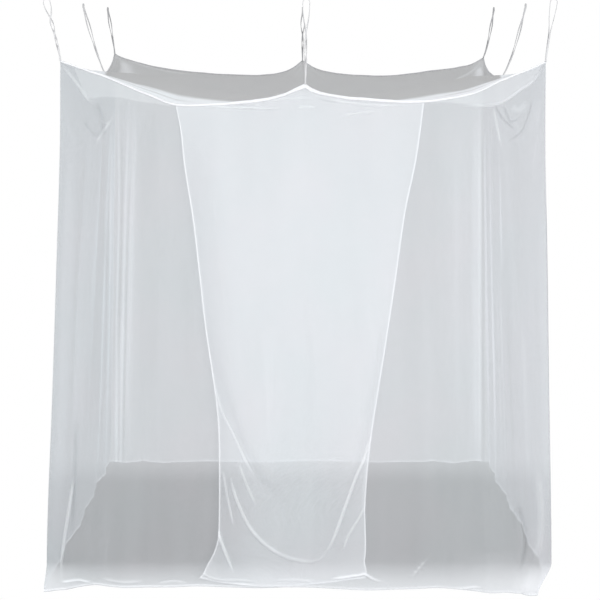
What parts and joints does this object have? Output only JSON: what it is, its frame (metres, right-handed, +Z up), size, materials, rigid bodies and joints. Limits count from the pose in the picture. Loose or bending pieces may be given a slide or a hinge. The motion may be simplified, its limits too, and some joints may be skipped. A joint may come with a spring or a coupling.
{
  "type": "mosquito net canopy",
  "caption": "Box-shaped mosquito net canopy with a slack roof, walls to the floor, two overlapping front panels as a door and twisted tape hanging loops.",
  "frame": {"origin": "on the floor under the middle of the net", "axes": "+Z up, +X to the right seen from the door side, +Y from the door side to the back"},
  "size_m": [2.0334, 1.9593, 2.3034],
  "materials": {
    "roof_netting": "fine even polyester netting, soft grey at a low angle, matt",
    "wall_netting": "fine even white polyester netting, sheer, matt",
    "door_netting": "fine even white polyester netting, sheer, with narrow opaque hems",
    "binding_tape": "white woven tape folded over the roof seam and stitched",
    "loop_tape": "white woven tape, doubled and twisted"
  },
  "bodies": {
    "root": {"net_roof": "roof_netting", "net_back_wall": "wall_netting", "net_left_wall": "wall_netting", "net_right_wall": "wall_netting", "net_front_left_panel": "door_netting", "net_front_right_panel": "door_netting", "roof_binding": "binding_tape", "loop_front_left": "loop_tape", "loop_mid_front": "loop_tape", "loop_front_right": "loop_tape", "loop_mid_right": "loop_tape", "loop_back_right": "loop_tape", "loop_mid_back": "loop_tape", "loop_back_left": "loop_tape", "loop_mid_left": "loop_tape"}
  },
  "joints": []
}
